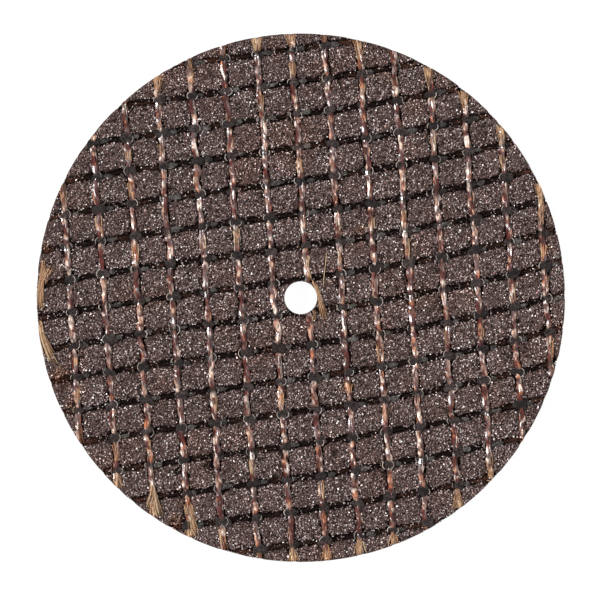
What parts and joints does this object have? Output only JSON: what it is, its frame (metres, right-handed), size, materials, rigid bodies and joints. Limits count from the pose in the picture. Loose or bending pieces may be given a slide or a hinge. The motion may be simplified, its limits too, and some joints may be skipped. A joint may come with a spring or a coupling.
{
  "type": "cut off wheel",
  "caption": "Thin round abrasive wheel with a small centre bore and a woven glass yarn net pressed into each face, for a rotary tool.",
  "frame": {"origin": "centre of the wheel, on its axis, half way through its thickness", "axes": "+Z along the wheel's axis, out of the front face that the picture shows; +Y towards the top of the picture, close to the run of the warp yarns; +X to the right"},
  "size_m": [0.032, 0.032, 0.001],
  "materials": {
    "bonded_abrasive": "coarse brown-grey grain bonded with resin, matt, with small bright sparkles",
    "glass_yarn": "glass yarn coated with amber to dark brown resin, glossy, straw-coloured where it frays"
  },
  "bodies": {
    "root": {"abrasive_disc": "bonded_abrasive", "front_glass_net": "glass_yarn", "back_glass_net": "glass_yarn"}
  },
  "joints": []
}
